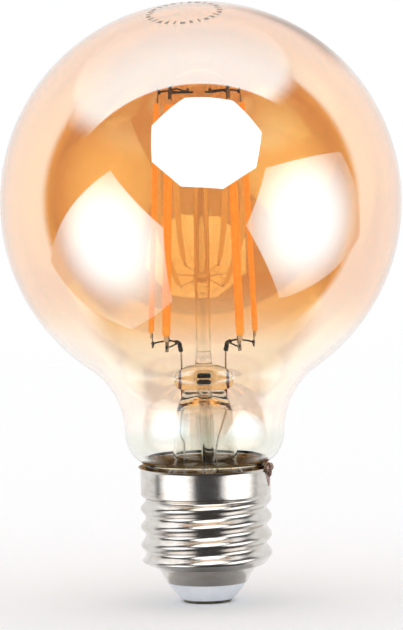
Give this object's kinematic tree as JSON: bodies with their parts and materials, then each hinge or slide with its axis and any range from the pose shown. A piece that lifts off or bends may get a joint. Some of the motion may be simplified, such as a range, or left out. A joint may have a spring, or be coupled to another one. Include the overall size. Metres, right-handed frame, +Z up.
{
  "type": "smart filament lamp",
  "caption": "Gold-tinted round-globe smart LED filament lamp with an E27 screw cap, glass stem, six filaments and the radio driver inside the cap.",
  "frame": {"origin": "middle of the end contact's flat face, on the lamp's axis", "axes": "+Z up the lamp's axis from the end contact to the crown; +X towards the side of the three filaments on the right; -Y is the side seen in the view"},
  "size_m": [0.08, 0.08, 0.12],
  "materials": {
    "tinted_glass": "gold-tinted, clear at the neck",
    "clear_glass": "clear",
    "oxidised_nickel": "dull",
    "copper_clad_wire": "satin",
    "tinned_wire": "satin",
    "phosphor": "satin silicone",
    "ceramic_strip": "matte",
    "steel_tab": "satin",
    "nickel_plate": "bright nickel",
    "cement": "coarse",
    "white_insulator": "smooth",
    "brass": "satin",
    "solder": "dull, rough",
    "sleeve": "satin",
    "green_board": "solder mask",
    "black_resin": "moulded",
    "capacitor_can": "shrink sleeve",
    "ferrite": "sintered",
    "copper_winding": "enamelled",
    "chip_ceramic": "fired",
    "resistor_body": "lacquered",
    "shield_steel": "tinned"
  },
  "bodies": {
    "root": {"glass_globe": "tinted_glass", "stem_flare": "clear_glass", "exhaust_tube": "clear_glass", "stem_post": "clear_glass", "post_bead": "clear_glass", "lead_left": "oxidised_nickel", "lead_right": "oxidised_nickel", "top_wires": "oxidised_nickel", "seal_wires": "copper_clad_wire", "outer_wire_left": "tinned_wire", "outer_wire_right": "tinned_wire", "live_wire": "tinned_wire", "neutral_wire": "tinned_wire", "antenna_wire": "tinned_wire", "filament_1": "phosphor", "filament_2": "phosphor", "filament_3": "phosphor", "filament_4": "phosphor", "filament_5": "phosphor", "filament_6": "phosphor", "filament_carriers": "ceramic_strip", "filament_tabs": "steel_tab", "screw_shell": "nickel_plate", "basing_cement": "cement", "insulator": "white_insulator", "centre_contact": "brass", "tip_solder": "solder", "rim_solder": "solder", "driver_sleeve": "sleeve", "driver_board": "green_board", "radio_board": "green_board", "bridge_rectifier": "black_resin", "driver_chip": "black_resin", "capacitor": "capacitor_can", "choke_core": "ferrite", "choke_winding": "copper_winding", "chip_parts": "chip_ceramic", "fusible_resistor": "resistor_body", "radio_shield": "shield_steel"}
  },
  "joints": []
}
